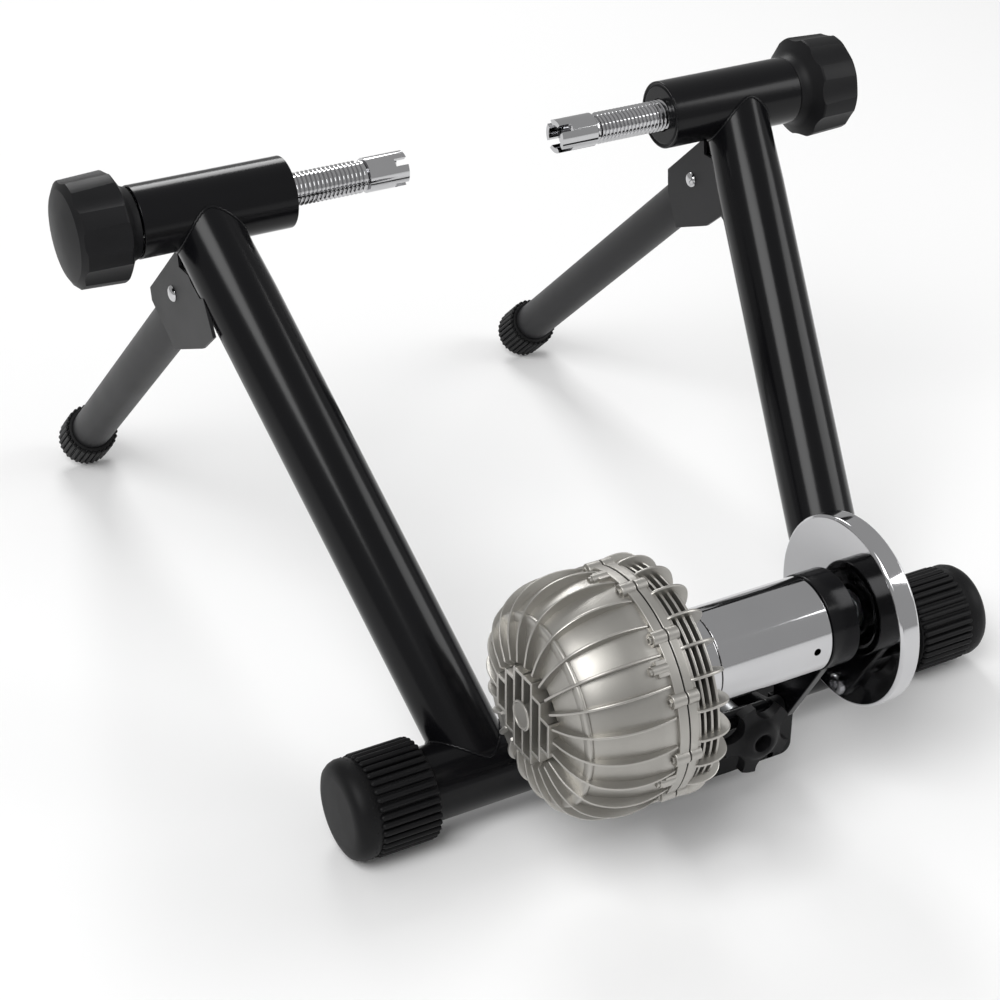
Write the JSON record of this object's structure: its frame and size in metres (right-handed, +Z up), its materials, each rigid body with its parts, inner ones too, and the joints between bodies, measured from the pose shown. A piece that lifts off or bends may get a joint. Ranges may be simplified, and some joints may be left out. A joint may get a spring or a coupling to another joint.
{
  "type": "wheel-on bicycle turbo trainer",
  "caption": "Folding steel stand with two screw clamps for a rear axle and a tilting roller unit with a finned fluid housing, a flywheel and a star knob.",
  "frame": {"origin": "on the floor, below the middle of the whole stand's bounding box", "axes": "+X along the base tube towards the flywheel, +Y back towards the folding legs, +Z up"},
  "size_m": [0.627, 0.7728, 0.3827],
  "materials": {
    "frame_paint": "gloss black",
    "rubber": "matt",
    "steel": "plain",
    "dark_satin": "satin dark grey",
    "chrome": "polished",
    "knob_plastic": "satin black",
    "cast_housing": "satin cast",
    "impeller_plastic": "matt"
  },
  "bodies": {
    "frame": {"base_tube": "frame_paint", "left_end_cap": "rubber", "right_end_cap": "rubber", "left_upright": "frame_paint", "right_upright": "frame_paint", "left_clamp_tube": "frame_paint", "right_clamp_tube": "frame_paint", "left_threaded_bush": "steel", "right_threaded_bush": "steel", "left_leg_bracket": "dark_satin", "right_leg_bracket": "dark_satin", "left_leg_pin": "steel", "right_leg_pin": "steel", "unit_bracket": "frame_paint", "pivot_bolt": "chrome", "pivot_nut": "chrome"},
    "left_leg": {"left_leg": "dark_satin", "left_leg_bush": "steel", "left_foot": "rubber"},
    "left_cup": {"left_axle_cup": "chrome"},
    "left_screw": {"left_clamp_rod": "chrome", "left_knob": "knob_plastic"},
    "right_leg": {"right_leg": "dark_satin", "right_leg_bush": "steel", "right_foot": "rubber"},
    "right_cup": {"right_axle_cup": "chrome"},
    "right_screw": {"right_clamp_rod": "chrome", "right_knob": "knob_plastic"},
    "resistance_unit": {"unit_yoke": "frame_paint", "right_bearing": "steel", "left_bearing": "steel", "housing_left_half": "cast_housing", "housing_right_half": "cast_housing", "housing_gasket": "rubber", "housing_end_button": "knob_plastic", "seam_bolt_1": "cast_housing", "seam_bolt_2": "cast_housing", "seam_bolt_3": "cast_housing", "seam_bolt_4": "cast_housing", "seam_bolt_5": "cast_housing", "seam_bolt_6": "cast_housing", "seam_bolt_7": "cast_housing", "seam_bolt_8": "cast_housing", "seam_bolt_9": "cast_housing", "seam_bolt_10": "cast_housing", "seam_bolt_11": "cast_housing", "seam_bolt_12": "cast_housing", "right_pivot_bush": "knob_plastic", "left_pivot_bush": "knob_plastic"},
    "turning_set": {"roller": "chrome", "roller_set_screw": "steel", "shaft": "steel", "flywheel": "chrome", "flywheel_bolt": "steel", "impeller": "impeller_plastic"},
    "star_screw": {"star_knob": "knob_plastic", "tension_screw": "steel", "screw_collar": "steel"},
    "thrust_nut": {"thrust_nut": "steel"}
  },
  "joints": [
    {"name": "left_leg_fold", "type": "hinge", "parent": "frame", "child": "left_leg", "pos_m": [-0.213, 0.07308, 0.28], "axis": [-1, 0, 0], "range_deg": [0, 86]},
    {"name": "left_clamp_travel", "type": "slide", "parent": "frame", "child": "left_cup", "axis": [-1, 0, 0], "range_m": [0, 0.045]},
    {"name": "left_clamp_turn", "type": "hinge", "parent": "left_cup", "child": "left_screw", "pos_m": [-0.29, 0.05778, 0.3448], "axis": [-1, 0, 0], "range_deg": [0, 5040]},
    {"name": "right_leg_fold", "type": "hinge", "parent": "frame", "child": "right_leg", "pos_m": [0.213, 0.07308, 0.28], "axis": [-1, 0, 0], "range_deg": [0, 86]},
    {"name": "right_clamp_travel", "type": "slide", "parent": "frame", "child": "right_cup", "axis": [1, 0, 0], "range_m": [0, 0.045]},
    {"name": "right_clamp_turn", "type": "hinge", "parent": "right_cup", "child": "right_screw", "pos_m": [0.29, 0.05778, 0.3448], "axis": [1, 0, 0], "range_deg": [0, 5040]},
    {"name": "yoke_tilt", "type": "hinge", "parent": "frame", "child": "resistance_unit", "pos_m": [0, -0.28912, 0.0671], "axis": [-1, 0, 0], "range_deg": [0, 37]},
    {"name": "roller_spin", "type": "hinge", "parent": "resistance_unit", "child": "turning_set", "pos_m": [0, -0.30842, 0.1427], "axis": [1, 0, 0], "continuous": true},
    {"name": "star_turn", "type": "hinge", "parent": "resistance_unit", "child": "star_screw", "pos_m": [0.0115, -0.30292, 0.0565], "axis": [0, 1, 0], "range_deg": [0, 2592]},
    {"name": "thrust_travel", "type": "slide", "parent": "resistance_unit", "child": "thrust_nut", "axis": [0, 1, 0], "range_m": [0, 0.0127]}
  ],
  "couplings": [
    {"joint": "left_clamp_travel", "follows": "left_clamp_turn", "m_per_rad": 0.0005093},
    {"joint": "right_clamp_travel", "follows": "right_clamp_turn", "m_per_rad": 0.0005093},
    {"joint": "yoke_tilt", "follows": "star_turn", "ratio": 0.01427},
    {"joint": "thrust_travel", "follows": "star_turn", "m_per_rad": 0.00027852}
  ]
}
